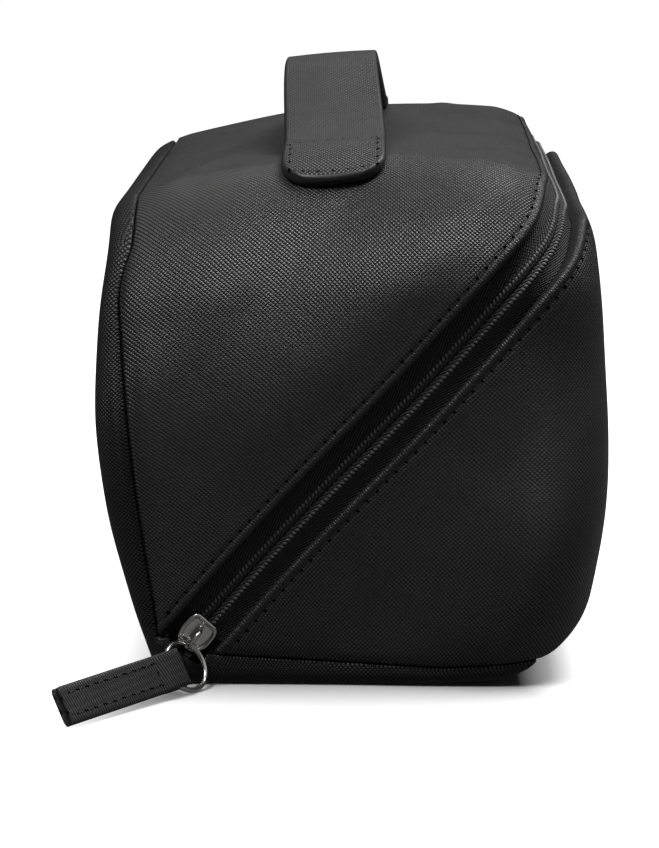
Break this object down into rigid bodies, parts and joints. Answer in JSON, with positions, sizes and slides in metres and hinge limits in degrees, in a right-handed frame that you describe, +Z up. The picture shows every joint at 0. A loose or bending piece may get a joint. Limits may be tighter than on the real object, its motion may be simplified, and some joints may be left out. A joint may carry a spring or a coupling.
{
  "type": "cosmetic bag",
  "caption": "Soft box-shaped leather cosmetic bag that a diagonal zip opens into two prisms, with a carrying strap on top and a leather pull tab on a ring.",
  "frame": {"origin": "centre of the flat base where it stands on the floor", "axes": "+Z up; +Y along the bag's long side, away from the end with the pull tab; +X to the right of that end, seen from outside"},
  "size_m": [0.1475, 0.2825, 0.162],
  "materials": {
    "bag_leather": "black cross-grained leather, satin",
    "strap_leather": "black cross-grained leather with painted edges, satin",
    "tab_leather": "dark grey ribbed leather, satin",
    "lining": "plain woven black lining cloth",
    "zip_tape": "woven black zip tape, matt",
    "zip_coil": "dark nylon coil, low sheen",
    "foam": "grey wadding, hidden",
    "board": "fibre stiffener board, hidden",
    "zip_metal": "plated zinc alloy, bright with fine wear"
  },
  "bodies": {
    "base": {"bottom_panel": "bag_leather", "base_wrap": "bag_leather", "base_foam_near": "foam", "base_foam_right": "foam", "base_foam_far": "foam", "base_board": "board", "base_lining": "lining", "zip_tape_base": "zip_tape", "zip_coil_base": "zip_coil", "zip_stop_near_base": "zip_metal", "zip_stop_far_base": "zip_metal"},
    "lid": {"lid_wrap": "bag_leather", "side_panel": "bag_leather", "lid_foam_near": "foam", "lid_foam_top": "foam", "lid_foam_far": "foam", "side_foam": "foam", "lid_lining": "lining", "zip_tape_lid": "zip_tape", "zip_coil_lid": "zip_coil", "zip_stop_near_lid": "zip_metal", "zip_stop_far_lid": "zip_metal", "handle_strap": "strap_leather", "handle_core": "foam", "handle_underside": "strap_leather", "handle_patch_near": "board", "handle_patch_far": "board"},
    "slider": {"slider_body": "zip_metal"},
    "ring": {"pull_ring": "zip_metal"},
    "tab": {"pull_tab": "tab_leather"}
  },
  "joints": [
    {"name": "lid_hinge", "type": "hinge", "parent": "base", "child": "lid", "pos_m": [-0.0483, 0, 0.0055], "axis": [0, -1, 0], "range_deg": [0, 70]},
    {"name": "slider_run", "type": "slide", "parent": "base", "child": "slider", "axis": [0.6633, 0, 0.7484], "range_m": [0, 0.105]},
    {"name": "ring_swing", "type": "hinge", "parent": "slider", "child": "ring", "pos_m": [-0.04296, -0.11855, 0.01152], "axis": [-0.7441, -0.432, 0.5096], "range_deg": [0, 75]},
    {"name": "tab_swing", "type": "hinge", "parent": "ring", "child": "tab", "pos_m": [-0.04342, -0.12338, 0.00676], "axis": [-0.6647, 0.5554, -0.4998], "range_deg": [0, 30]}
  ]
}
